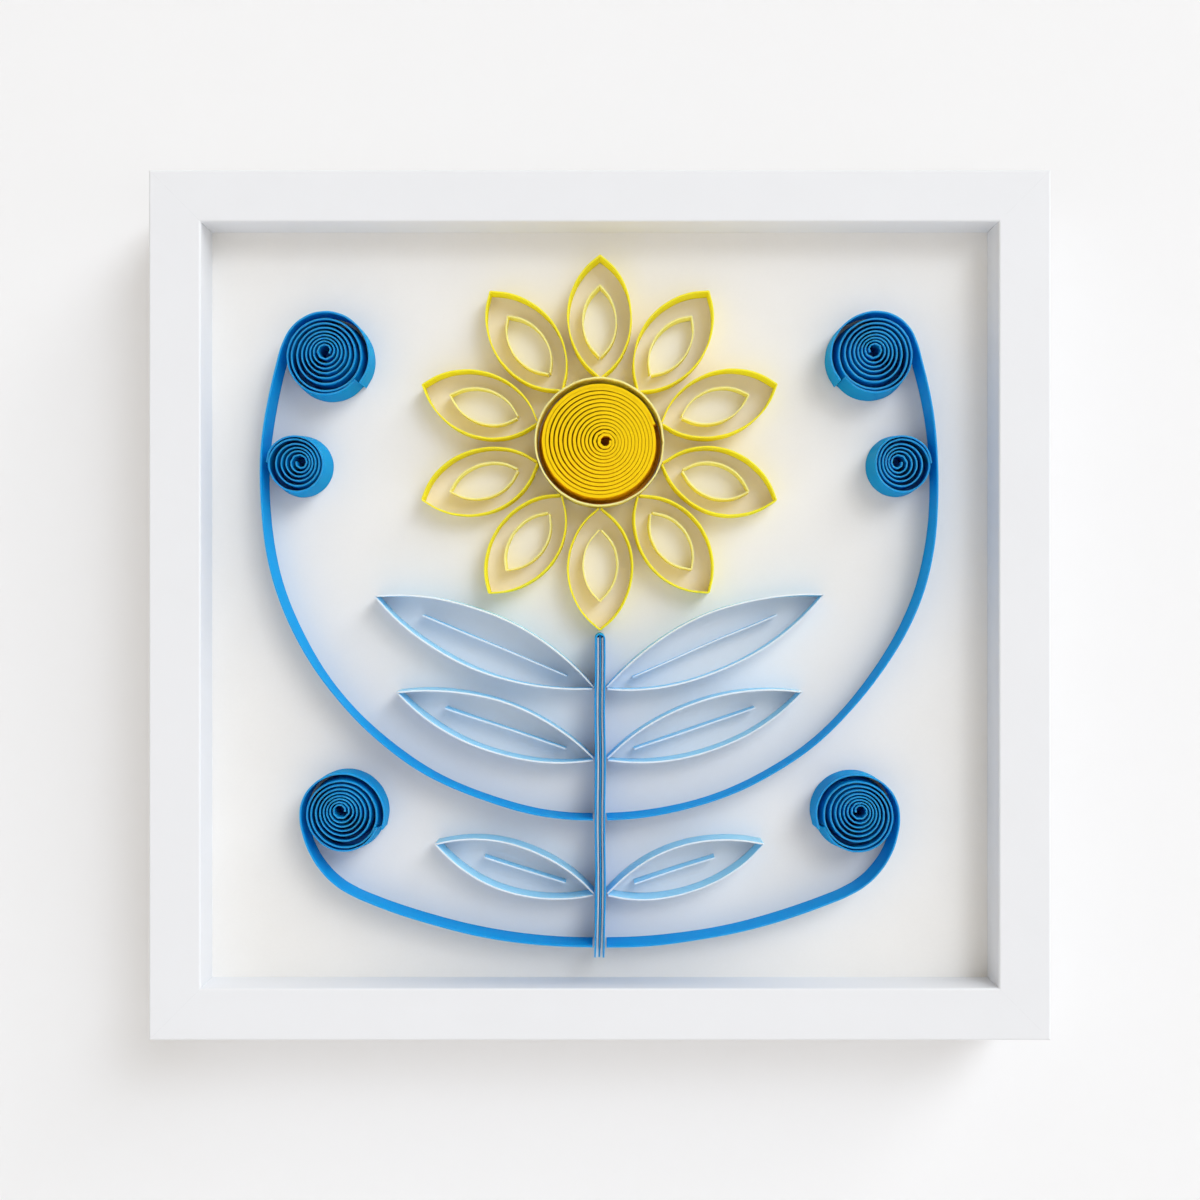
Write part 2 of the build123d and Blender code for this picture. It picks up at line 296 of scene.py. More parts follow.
def opaque(rgb):
    """Colour with full alpha."""
    return (*rgb, 1.0)


def multiplied(tree, base, tone):
    """Colour made darker or lighter by a tone."""
    return blended(tree, 1.0, base, tone, "MULTIPLY")


def grey(tree, value):
    """Grey colour of a value."""
    values = {"Red": value, "Green": value, "Blue": value}
    return add(tree, "ShaderNodeCombineColor", values).outputs["Color"]


def vector_maths(tree, operation, *values, result="Vector", **named):
    """Result of one step of vector arithmetic."""
    inputs = {**dict(enumerate(values)), **named}
    return add(tree, "ShaderNodeVectorMath", inputs, operation=operation).outputs[result]


def group_tree(name, kind, inputs, outputs):
    """Empty node group with named sockets, and its input and output nodes."""
    tree = bpy.data.node_groups.new(name, kind)
    for label, socket_type in inputs:
        tree.interface.new_socket(label, in_out="INPUT", socket_type=socket_type)
    for label, socket_type in outputs:
        tree.interface.new_socket(label, in_out="OUTPUT", socket_type=socket_type)
    return tree, add(tree, "NodeGroupInput"), add(tree, "NodeGroupOutput")


def noise(tree, vector, scale, detail=3.0, roughness=0.5):
    """Plain noise between 0 and 1."""
    values = {"Vector": vector, "Scale": scale, "Detail": detail, "Roughness": roughness}
    return add(tree, "ShaderNodeTexNoise", values).outputs["Fac"]


def fibre_group():
    """Fibres and clouds of paper: a tone to multiply the colour by, and a height for bump."""
    name = "Paper fibres"
    if name in bpy.data.node_groups:
        return bpy.data.node_groups[name]
    inputs = (
        ("Vector", "NodeSocketVector"),
        ("Fibre size", "NodeSocketFloat"),
        ("Mottle size", "NodeSocketFloat"),
        ("Contrast", "NodeSocketFloat"),
    )
    outputs = (("Tone", "NodeSocketColor"), ("Height", "NodeSocketFloat"))
    tree, entry, leave = group_tree(name, "ShaderNodeTree", inputs, outputs)
    vector = entry.outputs["Vector"]
    fine = maths(tree, "DIVIDE", 1.0, entry.outputs["Fibre size"])
    coarse = maths(tree, "DIVIDE", 1.0, entry.outputs["Mottle size"])
    fibres = noise(tree, vector, fine, detail=4.0, roughness=0.62)
    clouds = noise(tree, vector, coarse, detail=2.0)
    both = maths(tree, "SUBTRACT", maths(tree, "ADD", fibres, clouds), 1.0)
    tone = maths(tree, "MULTIPLY_ADD", both, entry.outputs["Contrast"], 1.0)
    tree.links.new(grey(tree, tone), leave.inputs["Tone"])
    tree.links.new(fibres, leave.inputs["Height"])
    return tree


def fibre_outputs(tree, place, fibre, mottle, contrast):
    """Tone and height of fibres and clouds of the given sizes."""
    made = add(tree, "ShaderNodeGroup", node_tree=fibre_group())
    tree.links.new(place, made.inputs["Vector"])
    made.inputs["Fibre size"].default_value = fibre
    made.inputs["Mottle size"].default_value = mottle
    made.inputs["Contrast"].default_value = contrast
    return made.outputs


def blank_material(name):
    """New material with its node tree, Principled shader and Object coordinates."""
    material = bpy.data.materials.new(name)
    material.use_nodes = True
    tree = material.node_tree
    shader = tree.nodes["Principled BSDF"]
    place = add(tree, "ShaderNodeTexCoord").outputs["Object"]
    return material, tree, shader, place


def use_bump(tree, shader, height, strength, depth):
    """Gives the shader a bump of the given depth."""
    bump = add(tree, "ShaderNodeBump", {"Strength": strength, "Distance": depth, "Height": height})
    tree.links.new(bump.outputs["Normal"], shader.inputs["Normal"])


def paper_material(name, face, edge, glow, settings):
    """Dyed paper: fibrous faces, and a paler edge where the strip was cut."""
    material, tree, shader, place = blank_material(name)
    fibres = fibre_outputs(tree, place, settings.fibre, settings.mottle, contrast=0.12)
    cut = add(tree, "ShaderNodeAttribute", attribute_name="cut_edge").outputs["Fac"]
    dyed = blended(tree, cut, opaque(face), opaque(edge))
    tree.links.new(multiplied(tree, dyed, fibres["Tone"]), shader.inputs["Base Color"])
    tree.links.new(spread(tree, fibres["Height"], low=0.55, high=0.8), shader.inputs["Roughness"])
    shader.inputs["Specular IOR Level"].default_value = 0.1
    shader.inputs["Subsurface Weight"].default_value = glow
    shader.inputs["Subsurface Radius"].default_value = (1.0, 1.0, 1.0)
    shader.inputs["Subsurface Scale"].default_value = 1.5 * MM
    use_bump(tree, shader, fibres["Height"], strength=0.35, depth=0.06 * MM)
    return material


def card_material(settings):
    """Matt white card with a fine felt, and painted bounce light where coils and ring close it in."""
    material, tree, shader, place = blank_material("white_art_card")
    fibres = fibre_outputs(tree, place, fibre=0.7 * MM, mottle=14 * MM, contrast=0.035)
    mirrored = vector_maths(tree, "ABSOLUTE", place)

    def within(node):
        """Mask of the card that a coil or ring closes in, on either side of the frame's middle."""
        low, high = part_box(node)
        middle = [abs(part) for part in ((low.x + high.x) / 2, CARD_FRONT, (low.z + high.z) / 2)]
        away = vector_maths(tree, "DISTANCE", mirrored, middle, result="Value")
        return maths(tree, "LESS_THAN", away, (high.x - low.x) / 2 - TINT_INSET)

    # Painted blue bounce light on the card inside each coil
    in_coil = 0.0
    for part in COIL_PARTS:
        in_coil = maths(tree, "MAXIMUM", in_coil, within(f"{part}_right"))
    ground = blended(tree, in_coil, opaque(settings.card), opaque(settings.painted_coil_bounce))
    # Painted golden bounce light on the card inside the flower's ring
    ground = blended(tree, within("flower_ring"), ground, opaque(settings.painted_core_bounce))
    tree.links.new(multiplied(tree, ground, fibres["Tone"]), shader.inputs["Base Color"])
    shader.inputs["Roughness"].default_value = 0.85
    shader.inputs["Specular IOR Level"].default_value = 0.2
    use_bump(tree, shader, fibres["Height"], strength=0.3, depth=0.05 * MM)
    return material


def paint_material(name, grain_stretch, settings):
    """Satin white paint on wood, bare in the rabbet and on the back, with a hairline at each mitre."""
    material, tree, shader, place = blank_material(name)
    axes = add(tree, "ShaderNodeSeparateXYZ", {"Vector": place})
    across = maths(tree, "ABSOLUTE", maths(tree, "SUBTRACT", axes.outputs["X"], FRAME_MIDDLE.x))
    from_side = maths(tree, "SUBTRACT", FRAME_WIDTH / 2, across)
    upward = maths(tree, "ABSOLUTE", maths(tree, "SUBTRACT", axes.outputs["Z"], FRAME_MIDDLE.z))
    from_end = maths(tree, "SUBTRACT", FRAME_HEIGHT / 2, upward)
    from_edge = maths(tree, "MINIMUM", from_side, from_end)
    off_mitre = maths(tree, "ABSOLUTE", maths(tree, "SUBTRACT", from_side, from_end))

    in_rabbet = maths(tree, "GREATER_THAN", from_edge, LAND_WIDTH - FACE_SLACK)
    behind_card = maths(tree, "GREATER_THAN", axes.outputs["Y"], CARD_FRONT + FACE_SLACK)
    patches = noise(tree, place, PAINT_PATCHES)
    ragged = maths(tree, "MULTIPLY", patches, PAINT_WRAP)
    on_back = maths(tree, "GREATER_THAN", maths(tree, "ADD", axes.outputs["Y"], ragged), FRAME_BACK)
    bare = maths(tree, "MAXIMUM", on_back, maths(tree, "MULTIPLY", in_rabbet, behind_card))

    drawn_out = {"Vector": place, "Scale": grain_stretch}
    along = add(tree, "ShaderNodeMapping", drawn_out).outputs["Vector"]
    grain = noise(tree, along, WOOD_GRAIN, detail=5.0, roughness=0.6)
    dark_grain = ramp(tree, grain, start=0.35, end=0.7)
    grained = blended(tree, dark_grain, opaque(settings.wood), opaque(settings.wood_dark))
    seam = ramp(tree, off_mitre, settings.joint_width * 2, settings.joint_width)
    wood = blended(tree, seam, grained, opaque(settings.wood_joint))

    clouds = spread(tree, noise(tree, place, PAINT_CLOUDS, detail=4.0), low=0.985, high=1.015)
    white = multiplied(tree, opaque(settings.paint), grey(tree, clouds))
    hairline = ramp(tree, off_mitre, settings.joint_width, settings.joint_width * 0.3)
    in_recess = maths(tree, "GREATER_THAN", from_edge, MOULDING_FACE - FACE_SLACK)
    open_joint = spread(tree, in_recess, low=0.35, high=1.0)
    filled = maths(tree, "MULTIPLY", ramp(tree, patches, start=0.3, end=0.6), open_joint)
    broken = maths(tree, "MULTIPLY", hairline, filled)
    painted = blended(tree, broken, white, opaque(settings.joint_line))

    tree.links.new(blended(tree, bare, painted, wood), shader.inputs["Base Color"])
    peel = noise(tree, place, PAINT_PEEL, detail=2.0)
    mottled = spread(tree, peel, settings.gloss - 0.05, settings.gloss + 0.05)
    dull = maths(tree, "MULTIPLY_ADD", bare, 0.4, mottled)
    tree.links.new(dull, shader.inputs["Roughness"])
    shader.inputs["Specular IOR Level"].default_value = 0.15
    sunk = maths(tree, "SUBTRACT", peel, maths(tree, "MULTIPLY", broken, 1.5))
    rough = maths(tree, "MULTIPLY_ADD", maths(tree, "MULTIPLY", bare, grain), 2.0, sunk)
    use_bump(tree, shader, rough, strength=0.2, depth=0.05 * MM)
    return material


def hardboard_material(settings):
    """Brown pressed fibre board."""
    material, tree, shader, place = blank_material("brown_hardboard")
    fibres = fibre_outputs(tree, place, fibre=0.9 * MM, mottle=22 * MM, contrast=0.3)
    speckle = noise(tree, place, BOARD_FLECKS, detail=3.0, roughness=0.7)
    flecks = ramp(tree, speckle, start=0.52, end=0.72)
    base = blended(tree, flecks, opaque(settings.hardboard), opaque(settings.hardboard_dark))
    tree.links.new(multiplied(tree, base, fibres["Tone"]), shader.inputs["Base Color"])
    tree.links.new(spread(tree, fibres["Height"], low=0.5, high=0.75), shader.inputs["Roughness"])
    use_bump(tree, shader, fibres["Height"], strength=0.3, depth=0.08 * MM)
    return material


def zinc_material(settings):
    """Zinc plated steel with faint spangle and handling marks."""
    material, tree, shader, place = blank_material("zinc_plated_steel")
    spangle = noise(tree, place, ZINC_SPANGLE, detail=3.0)
    drawn_out = {"Vector": place, "Scale": (BRUSHING_STRETCH, 1.0, 1.0)}
    along = add(tree, "ShaderNodeMapping", drawn_out).outputs["Vector"]
    brushed = noise(tree, along, ZINC_BRUSHING, detail=2.0)
    tone = grey(tree, spread(tree, spangle, low=0.8, high=1.1))
    tree.links.new(multiplied(tree, opaque(settings.zinc), tone), shader.inputs["Base Color"])
    shader.inputs["Metallic"].default_value = 1.0
    roughness = spread(tree, brushed, settings.roughness - 0.1, settings.roughness + 0.12)
    tree.links.new(roughness, shader.inputs["Roughness"])
    use_bump(tree, shader, brushed, strength=0.15, depth=0.03 * MM)
    return material


def strip_tree():
    """Geometry Nodes tree that stands a strip of paper on edge along a curve drawn flat."""
    name = "Paper strip on edge"
    if name in bpy.data.node_groups:
        return bpy.data.node_groups[name]
    inputs = (
        ("Curve", "NodeSocketGeometry"),
        ("Thickness", "NodeSocketFloat"),
        ("Depth", "NodeSocketFloat"),
        ("Step", "NodeSocketFloat"),
        ("Waver", "NodeSocketFloat"),
        ("Waver span", "NodeSocketFloat"),
        ("Lean", "NodeSocketFloat"),
        ("Cone", "NodeSocketFloat"),
        ("Middle", "NodeSocketVector"),
        ("Card front", "NodeSocketFloat"),
        ("Paper", "NodeSocketMaterial"),
    )
    tree, entry, leave = group_tree(name, "GeometryNodeTree", inputs, (("Strip", "NodeSocketGeometry"),))
    given = entry.outputs

    def stray(shift, reach):
        """Offset in the plane of the card that changes slowly from place to place."""
        place = add(tree, "GeometryNodeInputPosition").outputs[0]
        moved = vector_maths(tree, "ADD", place, (shift, shift, 0.0))
        flat = vector_maths(tree, "MULTIPLY", moved, (1.0, 1.0, 0.0))
        per_span = maths(tree, "DIVIDE", 1.0, given["Waver span"])
        values = {"Vector": flat, "Scale": per_span, "Detail": 0.0}
        clouds = add(tree, "ShaderNodeTexNoise", values).outputs["Color"]
        even = vector_maths(tree, "SUBTRACT", clouds, (0.5, 0.5, 0.5))
        level = vector_maths(tree, "MULTIPLY", even, (2.0, 2.0, 0.0))
        return vector_maths(tree, "SCALE", level, Scale=reach)

    every_step = {"Curve": given["Curve"], "Length": given["Step"]}
    sampled = add(tree, "GeometryNodeResampleCurve", every_step, mode="LENGTH")
    wavering = {"Geometry": sampled.outputs[0], "Offset": stray(0.0, given["Waver"])}
    loose = add(tree, "GeometryNodeSetPosition", wavering)
    upright = add(tree, "GeometryNodeSetCurveNormal", {"Curve": loose.outputs[0]}, mode="Z_UP")
    across = {"Width": given["Thickness"], "Height": given["Depth"]}
    section = add(tree, "GeometryNodeCurvePrimitiveQuadrilateral", across)
    lift = add(tree, "ShaderNodeCombineXYZ", {"Y": maths(tree, "MULTIPLY", given["Depth"], -0.5)})
    on_edge = {"Geometry": section.outputs[0], "Translation": lift.outputs[0]}
    raised = add(tree, "GeometryNodeTransform", on_edge)
    sweep = {"Curve": upright.outputs[0], "Profile Curve": raised.outputs[0], "Fill Caps": True}
    swept = add(tree, "GeometryNodeCurveToMesh", sweep)

    place = add(tree, "GeometryNodeInputPosition").outputs[0]
    height = add(tree, "ShaderNodeSeparateXYZ", {"Vector": place}).outputs["Z"]
    rise = maths(tree, "DIVIDE", height, given["Depth"])
    leaning = stray(0.4, maths(tree, "MULTIPLY", given["Lean"], rise))
    off_middle = vector_maths(tree, "SUBTRACT", place, given["Middle"])
    away = vector_maths(tree, "MULTIPLY", off_middle, (1.0, 1.0, 0.0))
    radius = vector_maths(tree, "LENGTH", away, result="Value")
    narrowed = maths(tree, "MULTIPLY", given["Cone"], rise)
    pull = maths(tree, "MULTIPLY", narrowed, ramp(tree, radius, 0.0, CONE_REACH))
    outward = vector_maths(tree, "NORMALIZE", away)
    gathered = vector_maths(tree, "SCALE", outward, Scale=maths(tree, "MULTIPLY", pull, -1.0))
    moved = vector_maths(tree, "ADD", leaning, gathered)
    tilted = add(tree, "GeometryNodeSetPosition", {"Geometry": swept.outputs[0], "Offset": moved})
    facing = add(tree, "ShaderNodeSeparateXYZ", {"Vector": add(tree, "GeometryNodeInputNormal").outputs[0]})
    is_cut = maths(tree, "GREATER_THAN", maths(tree, "ABSOLUTE", facing.outputs["Z"]), 0.7)
    marked = add(
        tree,
        "GeometryNodeStoreNamedAttribute",
        {"Geometry": tilted.outputs[0], "Name": "cut_edge", "Value": is_cut},
        data_type="FLOAT",
        domain="FACE",
    )
    all_over = {"Geometry": marked.outputs[0], "Shade Smooth": True}
    smooth = add(tree, "GeometryNodeSetShadeSmooth", all_over, domain="FACE")
    angle = add(tree, "GeometryNodeInputMeshEdgeAngle").outputs["Unsigned Angle"]
    creased = add(
        tree,
        "GeometryNodeSetShadeSmooth",
        {
            "Geometry": smooth.outputs[0],
            "Selection": maths(tree, "GREATER_THAN", angle, FOLD_ANGLE),
            "Shade Smooth": False,
        },
        domain="EDGE",
    )
    on_card = add(tree, "ShaderNodeCombineXYZ", {"Y": given["Card front"]})
    stood = add(
        tree,
        "GeometryNodeTransform",
        {
            "Geometry": creased.outputs[0],
            "Translation": on_card.outputs[0],
            "Rotation": (math.radians(90), 0.0, 0.0),
        },
    )
    real = add(tree, "GeometryNodeRealizeInstances", {"Geometry": stood.outputs[0]})
    dyed = add(tree, "GeometryNodeSetMaterial", {"Geometry": real.outputs[0], "Material": given["Paper"]})
    tree.links.new(dyed.outputs[0], leave.inputs[0])
    return tree


def input_id(tree, label):
    """Identifier of a tree's named input."""
    for item in tree.interface.items_tree:
        if item.item_type == "SOCKET" and item.in_out == "INPUT" and item.name == label:
            return item.identifier
    raise KeyError(label)


def grown(carrier, tree, values, name):
    """Plain mesh object from a tree run on a carrier object, which is then removed."""
    modifier = carrier.modifiers.new("Nodes", "NODES")
    modifier.node_group = tree
    for label, value in values.items():
        modifier[input_id(tree, label)] = value
    bpy.context.view_layer.update()
    depsgraph = bpy.context.evaluated_depsgraph_get()
    result = carrier.evaluated_get(depsgraph)
    mesh = bpy.data.meshes.new_from_object(result, preserve_all_data_layers=True, depsgraph=depsgraph)
    if not mesh.polygons:
        raise RuntimeError(f"the nodes made no faces for {name}")
    carrier.modifiers.remove(modifier)
    bpy.data.objects.remove(carrier)
    mesh.name = name
    piece = bpy.data.objects.new(name, mesh)
    bpy.context.scene.collection.objects.link(piece)
    return piece


def front_outline(node):
    """Outline of a strip's front edge, in order, as X and Z in metres."""
    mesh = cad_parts[node].data
    corners = [tuple(round(c, 8) for c in vertex.co) for vertex in mesh.vertices]
    front = min(corner[1] for corner in corners)
    slack = 0.01 * MM
    steps = set()
    for polygon in mesh.polygons:
        around = [corners[i] for i in polygon.vertices]
        if max(corner[1] for corner in around) < front + slack:
            points = [(corner[0], corner[2]) for corner in around]
            steps.update(zip(points, points[1:] + points[:1]))
    following = {start: end for start, end in steps if (end, start) not in steps}
    outline = [min(following)]
    while following[outline[-1]] != outline[0]:
        outline.append(following[outline[-1]])
    return np.array(outline)


def centre_line(node):
    """Centre line of a strip and the paper's thickness, from the outline of its front edge."""
    outline = front_outline(node)
    count = len(outline) // 2

    def halves(start):
        """The outline folded in two at a place: one side, and the other side beside it."""
        order = np.arange(count)
        return outline[(start + order) % len(outline)], outline[(start - 1 - order) % len(outline)]

    def width(start):
        """Mean distance between the two sides when folded there."""
        one, other = halves(start)
        return np.linalg.norm(one - other, axis=1).mean()

    one, other = halves(min(range(len(outline)), key=width))
    gaps = np.linalg.norm(one - other, axis=1)
    return (one + other) / 2, gaps.min()


def turn_at(before, here, after):
    """Angle by which a line turns at a point."""
    arriving = Vector(here - before)
    leaving = Vector(after - here)
    return arriving.angle(leaving)


def eased(points):
    """Points and fold marks of a centre line, with a point added on each long run beside a short one."""
    runs = np.linalg.norm(np.diff(points, axis=0), axis=1)
    folds = [False] * len(points)
    for i in range(1, len(points) - 1):
        folds[i] = turn_at(points[i - 1], points[i], points[i + 1]) > FOLD_ANGLE
    line = [points[0]]
    marks = [False]
    for i, run in enumerate(runs):
        start, end = points[i], points[i + 1]
        towards = (end - start) / run
        before = runs[i - 1] if i > 0 and not folds[i] else run
        after = runs[i + 1] if i + 1 < len(runs) and not folds[i + 1] else run
        if run > LONG_RUN * before:
            line.append(start + towards * before)
            marks.append(False)
        if run > LONG_RUN * after and run - after > before:
            line.append(end - towards * after)
            marks.append(False)
        line.append(end)
        marks.append(folds[i + 1])
    return line, marks


def strip_curve(name, line, folds):
    """Flat smooth curve through points, sharp where the paper is folded."""
    drawn = bpy.data.curves.new(name, "CURVE")
    drawn.dimensions = "3D"
    spline = drawn.splines.new("BEZIER")
    spline.resolution_u = 16
    spline.bezier_points.add(len(line) - 1)
    for knot, place, fold in zip(spline.bezier_points, line, folds):
        knot.co = (place[0], place[1], 0.0)
        knot.handle_left_type = "VECTOR" if fold else "AUTO"
        knot.handle_right_type = "VECTOR" if fold else "AUTO"
    carrier = bpy.data.objects.new(name + "_line", drawn)
    bpy.context.scene.collection.objects.link(carrier)
    return carrier


def standing_strip(name, carrier, dye, shape):
    """A smooth strip of paper that stands on the card along a curve."""
    settings = bpy.context.scene.quilling.paper
    values = {
        "Step": settings.step,
        "Waver": settings.waver,
        "Waver span": settings.waver_span,
        "Lean": settings.lean,
        "Card front": CARD_FRONT,
        "Paper": paper(dye),
        **shape,
    }
    piece = grown(carrier, strip_tree(), values, "paper_" + name)
    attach(piece, "root")
    return piece


def paper_strip(node, dye, cone=0.0, swell=0.0):
    """The smooth strip that stands for a node's flats. A coil may narrow in front and its paper swell."""
    points, thickness = centre_line(node)
    low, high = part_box(node)
    middle = (low + high) / 2
    shape = {
        "Thickness": float(thickness) + swell,
        "Depth": CARD_FRONT - low.y,
        "Cone": cone,
        "Middle": (middle.x, middle.z, 0.0),
    }
    piece = standing_strip(node, strip_curve(node, *eased(points)), dye, shape)
    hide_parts(node)


def stem_filling():
    """Strips that fill the fold of the stem, side by side."""
    low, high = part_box("stem")
    thickness = centre_line("stem")[1]
    radius = (high.x - low.x) / 2 - thickness
    dyes = ("light_blue", "deep_blue", "light_blue")
    pitch = 2 * radius / len(dyes)
    paper_share = 0.75
    depth_share = 0.95
    clearance = 0.1 * MM
    knots = 5
    shape = {"Thickness": pitch * paper_share, "Depth": (CARD_FRONT - low.y) * depth_share}
    for i, dye in enumerate(dyes):
        name = f"stem_filling_{i + 1}"
        off_axis = pitch * (i + 0.5) - radius
        reach = abs(off_axis) + shape["Thickness"] / 2
        top = high.z - thickness - radius + math.sqrt(radius**2 - reach**2) - clearance
        line = [((low.x + high.x) / 2 + off_axis, z) for z in np.linspace(low.z, top, knots)]
        standing_strip(name, strip_curve(name, line, [False] * len(line)), dye, shape)


def paper(name):
    """The paper of that colour, made once."""
    material_name = "dyed_" + name
    if material_name in bpy.data.materials:
        return bpy.data.materials[material_name]
    settings = bpy.context.scene.quilling.paper
    glow = settings.core_glow if name == "golden_yellow" else settings.glow
    face = getattr(settings, name)
    edge = getattr(settings, name + "_edge")
    return paper_material(material_name, face, edge, glow, settings)


def dress(node, material):
    """Gives a CAD node its finish."""
    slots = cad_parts[node].data.materials
    slots.clear()
    slots.append(material)


def soften(node, width):
    """Rounds the sharp edges of a CAD node a little."""
    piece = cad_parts[node]
    weld = piece.modifiers.new("Weld", "WELD")
    weld.merge_threshold = 0.001 * MM
    bevel = piece.modifiers.new("Bevel", "BEVEL")
    bevel.width = width
    bevel.segments = 3
    bevel.limit_method = "ANGLE"
    bevel.angle_limit = FOLD_ANGLE


def plane(name, corners, material):
    """Flat sheet of the stage."""
    mesh = bpy.data.meshes.new(name)
    mesh.from_pydata(corners, [], [tuple(range(len(corners)))])
    mesh.materials.append(material)
    sheet = bpy.data.objects.new(name, mesh)
    bpy.context.scene.collection.objects.link(sheet)
    return sheet


def stage_material(name, rgb):
    """Plain matt surface that is seen from its front alone."""
    material, tree, shader, place = blank_material(name)
    clouds = noise(tree, place, STAGE_CLOUDS, detail=2.0)
    tone = grey(tree, spread(tree, clouds, low=0.99, high=1.01))
    tree.links.new(multiplied(tree, opaque(rgb), tone), shader.inputs["Base Color"])
    shader.inputs["Roughness"].default_value = 0.9
    shader.inputs["Specular IOR Level"].default_value = 0.1
    behind = add(tree, "ShaderNodeNewGeometry").outputs["Backfacing"]
    clear = add(tree, "ShaderNodeBsdfTransparent").outputs[0]
    either = add(tree, "ShaderNodeMixShader", {0: behind, 1: shader.outputs[0], 2: clear})
    tree.links.new(either.outputs[0], tree.nodes["Material Output"].inputs["Surface"])
    return material


def soft_lamp(name, place, size, watts, shade):
    """Round soft lamp that faces the middle of the frame."""
    light = bpy.data.lights.new(name, "AREA")
    light.shape = "DISK"
    light.size = size
    light.energy = watts
    light.color = shade
    lamp = bpy.data.objects.new(name, light)
    lamp.location = place
    lamp.rotation_mode = "QUATERNION"
    lamp.rotation_quaternion = (FRAME_MIDDLE - Vector(place)).to_track_quat("-Z", "Y")
    bpy.context.scene.collection.objects.link(lamp)
    return lamp


def even_sky(settings):
    """Even light from all round, white where the camera, a reflection or glass looks at it."""
    world = bpy.data.worlds.new("Even sky")
    world.use_nodes = True
    tree = world.node_tree
    tree.nodes.clear()
    path = add(tree, "ShaderNodeLightPath").outputs
    seen = maths(tree, "MAXIMUM", path["Is Camera Ray"], path["Is Glossy Ray"])
    seen = maths(tree, "MAXIMUM", seen, path["Is Transmission Ray"])
    even = {"Color": opaque(settings.sky_tint), "Strength": settings.sky}
    plain = {"Color": opaque(settings.backdrop), "Strength": 1.0}
    lit = add(tree, "ShaderNodeBackground", even)
    white = add(tree, "ShaderNodeBackground", plain)
    either = add(tree, "ShaderNodeMixShader", {0: seen, 1: lit.outputs[0], 2: white.outputs[0]})
    result = add(tree, "ShaderNodeOutputWorld")
    tree.links.new(either.outputs[0], result.inputs["Surface"])
    bpy.context.scene.world = world


class QUILLING_OT_stage(bpy.types.Operator):
    """Set up the wall, floor, lamps and camera"""

    bl_idname = "quilling.stage"
    bl_label = "Stage"

    def execute(self, context):
        settings = context.scene.quilling.stage
        wall_y = CAD_HIGH.y + WALL_GAP
        floor_z = -settings.floor_drop
        reach = STAGE_REACH
        upright = ((-reach, floor_z), (reach, floor_z), (reach, reach), (-reach, reach))
        wall_white = stage_material("wall_white", settings.wall)
        wall = plane("wall", [(x, wall_y, z) for x, z in upright], wall_white)
        wall.visible_shadow = False
        wall.visible_diffuse = False
        wall.visible_glossy = False
        level = ((-reach, -reach), (reach, -reach), (reach, reach), (-reach, reach))
        floor_pale = stage_material("floor_pale", settings.floor)
        plane("floor", [(x, y, floor_z) for x, y in level], floor_pale)
        lamps = (
            ("key_lamp", (0.5, -1.0, 0.55), settings.key_power, COOL_TINT),
            ("side_lamp", (0.8, -0.9, 0.85), settings.side_power, COOL_TINT),
            ("low_lamp", (1.0, -0.3, 1.0), settings.low_power, PLAIN_TINT),
            ("rear_lamp", (-0.7, 1.1, 0.7), settings.rear_power, PLAIN_TINT),
        )
        for name, way, watts, shade in lamps:
            place = FRAME_MIDDLE + Vector(way).normalized() * settings.lamp_distance
            soft_lamp(name, place, settings.lamp_size, watts, shade)
        even_sky(settings)

        view_width = FRAME_WIDTH * PHOTO_SIDE / FRAME_PIXELS
        pixel = view_width / PHOTO_SIDE
        camera = bpy.data.cameras.new("camera")
        camera.sensor_width = SENSOR_WIDTH
        camera.lens = SENSOR_WIDTH * settings.camera_distance / view_width
        camera.clip_start = CLIP_START
        eye = bpy.data.objects.new("camera", camera)
        eye.location = (
            FRAME_MIDDLE.x + (PHOTO_SIDE / 2 - FRAME_MIDDLE_PIXEL[0]) * pixel,
            FRAME_FRONT - settings.camera_distance,
            FRAME_MIDDLE.z - (PHOTO_SIDE / 2 - FRAME_MIDDLE_PIXEL[1]) * pixel,
        )
        eye.rotation_euler = (math.radians(90), 0.0, 0.0)
        context.scene.collection.objects.link(eye)
        context.scene.camera = eye
        context.scene.view_settings.view_transform = "Standard"
        return {"FINISHED"}


class QUILLING_OT_moulding(bpy.types.Operator):
    """Paint the four lengths of moulding"""

    bl_idname = "quilling.moulding"
    bl_label = "Moulding"

    def execute(self, context):
        settings = context.scene.quilling.moulding
        rail_paint = paint_material("white_paint_rail", (GRAIN_STRETCH, 1.0, 1.0), settings)
        stile_paint = paint_material("white_paint_stile", (1.0, 1.0, GRAIN_STRETCH), settings)
        for node in ("frame_rail_top", "frame_rail_bottom"):
            dress(node, rail_paint)
        for node in ("frame_stile_left", "frame_stile_right"):
            dress(node, stile_paint)
        return {"FINISHED"}


class QUILLING_OT_boards(bpy.types.Operator):
    """Finish the art card and the backing board"""

    bl_idname = "quilling.boards"
    bl_label = "Card and backing"

    def execute(self, context):
        settings = context.scene.quilling.boards
        dress("art_card", card_material(settings))
        dress("backing_board", hardboard_material(settings))
        return {"FINISHED"}


class QUILLING_OT_hardware(bpy.types.Operator):
    """Finish the V-nails, flexi points, hanger and its nails"""

    bl_idname = "quilling.hardware"
    bl_label = "Hardware"

    def execute(self, context):
        settings = context.scene.quilling.metal
        zinc = zinc_material(settings)
        for node in ("corner_v_nails", "flexi_points", "sawtooth_hanger", "hanger_nails"):
            dress(node, zinc)
        soften("flexi_points", settings.edge_round)
        soften("sawtooth_hanger", settings.edge_round)
        soften("hanger_nails", settings.head_round)
        return {"FINISHED"}


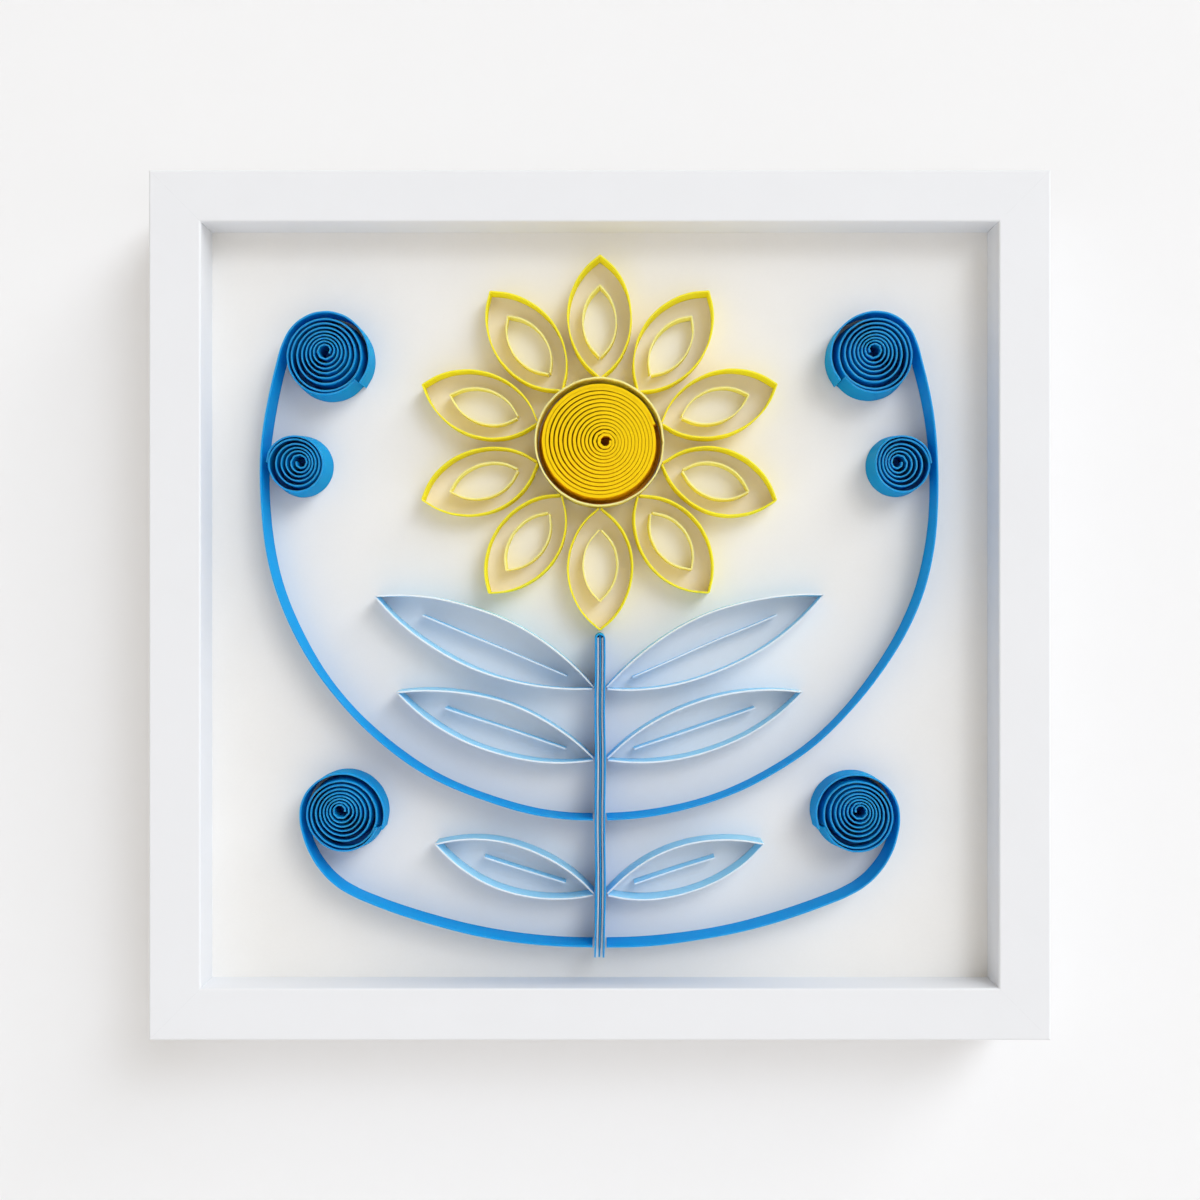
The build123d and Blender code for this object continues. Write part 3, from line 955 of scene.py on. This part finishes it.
class QUILLING_OT_flower(bpy.types.Operator):
    """Roll the flower's core and ring, and fold its petals"""

    bl_idname = "quilling.flower"
    bl_label = "Flower"

    def execute(self, context):
        settings = context.scene.quilling.paper
        paper_strip("flower_core", "golden_yellow", settings.core_cone, settings.core_swell)
        paper_strip("flower_ring", "pale_yellow")
        for node in sorted(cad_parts):
            if node.startswith("petal_"):
                paper_strip(node, "deep_yellow")
            if node.startswith("inner_petal_"):
                paper_strip(node, "pale_yellow")
        return {"FINISHED"}


class QUILLING_OT_stem(bpy.types.Operator):
    """Stand the stem, the tendrils and their coils on the card"""

    bl_idname = "quilling.stem"
    bl_label = "Stem, tendrils and coils"

    def execute(self, context):
        paper_strip("stem", "deep_blue")
        stem_filling()
        cone = context.scene.quilling.paper.coil_cone
        for side in SIDES:
            for part in ("high_tendril", "low_tendril"):
                paper_strip(f"{part}_{side}", "deep_blue")
            for part in COIL_PARTS:
                paper_strip(f"{part}_{side}", "deep_blue", cone)
        return {"FINISHED"}


class QUILLING_OT_leaves(bpy.types.Operator):
    """Fold the leaves and stand a rib in each"""

    bl_idname = "quilling.leaves"
    bl_label = "Leaves"

    def execute(self, context):
        for part in ("high_leaf", "middle_leaf", "low_leaf"):
            for side in SIDES:
                paper_strip(f"{part}_{side}", "light_blue")
                paper_strip(f"{part}_rib_{side}", "light_blue")
        return {"FINISHED"}


class QUILLING_PT_panel(bpy.types.Panel):
    """Settings and steps of the framed quilling"""

    bl_idname = "QUILLING_PT_panel"
    bl_label = "Framed quilling"
    bl_space_type = "VIEW_3D"
    bl_region_type = "UI"
    bl_category = "Quilling"

    def draw(self, context):
        layout = self.layout
        settings = context.scene.quilling
        for group in (settings.stage, settings.moulding, settings.boards, settings.metal, settings.paper):
            box = layout.box()
            for name in group.bl_rna.properties.keys():
                if name not in ("rna_type", "name"):
                    box.prop(group, name)
        for operator in OPERATORS:
            layout.operator(operator.bl_idname)


GROUPS = (QuillingPaper, QuillingFrame, QuillingBoards, QuillingMetal, QuillingStage, QuillingSettings)
OPERATORS = (
    QUILLING_OT_stage,
    QUILLING_OT_moulding,
    QUILLING_OT_boards,
    QUILLING_OT_hardware,
    QUILLING_OT_flower,
    QUILLING_OT_stem,
    QUILLING_OT_leaves,
)
CLASSES = (*GROUPS, *OPERATORS, QUILLING_PT_panel)


def register():
    for cls in CLASSES:
        bpy.utils.register_class(cls)
    bpy.types.Scene.quilling = PointerProperty(type=QuillingSettings)


def unregister():
    del bpy.types.Scene.quilling
    for cls in reversed(CLASSES):
        bpy.utils.unregister_class(cls)


def main():
    """Builds the stage and finishes every piece."""
    register()
    bpy.ops.quilling.stage()
    bpy.ops.quilling.moulding()
    bpy.ops.quilling.boards()
    bpy.ops.quilling.hardware()
    bpy.ops.quilling.flower()
    bpy.ops.quilling.stem()
    bpy.ops.quilling.leaves()


if __name__ == "__main__":
    main()
